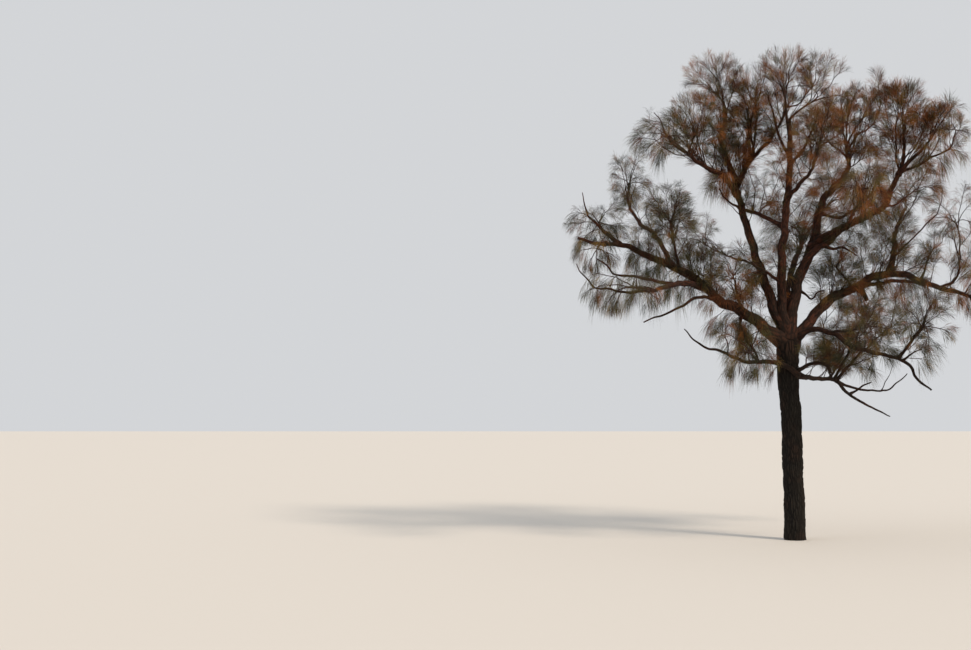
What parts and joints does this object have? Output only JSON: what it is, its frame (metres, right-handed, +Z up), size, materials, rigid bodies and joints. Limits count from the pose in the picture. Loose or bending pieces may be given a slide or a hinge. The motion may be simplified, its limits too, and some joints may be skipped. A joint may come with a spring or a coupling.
{
  "type": "desert she-oak tree",
  "caption": "Old desert oak with a furrowed trunk, wide forked boughs, bare dead limbs and open puffs of drooping needle foliage, rooted in level ground.",
  "frame": {"origin": "middle of the flat cut under the trunk, at ground level", "axes": "+Z up the trunk; -Y towards the side first seen; +X to the right from that side"},
  "size_m": [7.1617, 5.7086, 7.45],
  "materials": {
    "lower_bark": "thick corky bark, deeply furrowed lengthways, dull charcoal brown",
    "upper_bark": "furrowed bark of the boughs, dull reddish brown",
    "olive_needles": "fine drooping needle-like twigs, dull grey olive",
    "russet_needles": "fine drooping needle-like twigs, warm rust brown"
  },
  "bodies": {
    "root": {"trunk": "lower_bark", "stem_right": "upper_bark", "bough_left": "upper_bark", "bough_right": "upper_bark", "stem_middle": "upper_bark", "stem_left": "upper_bark", "back_bough": "upper_bark", "right_big": "upper_bark", "right_big_riser": "upper_bark", "right_front_limb": "upper_bark", "left_fork": "upper_bark", "left_riser": "upper_bark", "left_tuft_limb": "upper_bark", "left_under": "upper_bark", "left_dead": "upper_bark", "left_spur": "upper_bark", "low_left": "upper_bark", "low_left_spur": "upper_bark", "stem_left_arm": "upper_bark", "upper_left_arm": "upper_bark", "upper_left_riser": "upper_bark", "cross_limb": "upper_bark", "middle_arm": "upper_bark", "right_riser": "upper_bark", "right_end_riser": "upper_bark", "low_right": "upper_bark", "low_right_front_limb": "upper_bark", "low_right_riser": "upper_bark", "low_right_under": "upper_bark", "low_right_tuft_limb": "upper_bark", "foliage_far_left": "olive_needles", "foliage_left_tip": "olive_needles", "foliage_left_crest": "olive_needles", "foliage_left_tuft": "olive_needles", "foliage_left_hang": "olive_needles", "foliage_left_heart": "olive_needles", "foliage_low_left_puff": "olive_needles", "foliage_left_wisp": "olive_needles", "foliage_upper_far_left": "olive_needles", "foliage_upper_left": "russet_needles", "foliage_top_left": "russet_needles", "foliage_left_dense": "russet_needles", "foliage_top_middle_left": "russet_needles", "foliage_between": "olive_needles", "foliage_top": "russet_needles", "foliage_top_right": "russet_needles", "foliage_middle_right": "russet_needles", "foliage_right_inner": "russet_needles", "foliage_right_top": "russet_needles", "foliage_right_crest": "russet_needles", "foliage_right_edge": "russet_needles", "foliage_right_front": "russet_needles", "foliage_right_riser_puff": "russet_needles", "foliage_right_far": "russet_needles", "foliage_right_end": "russet_needles", "foliage_low_right_puff": "russet_needles", "foliage_low_right_front": "olive_needles", "foliage_low_right_tuft": "olive_needles", "foliage_back_low": "olive_needles", "foliage_back_high": "russet_needles"}
  },
  "joints": []
}
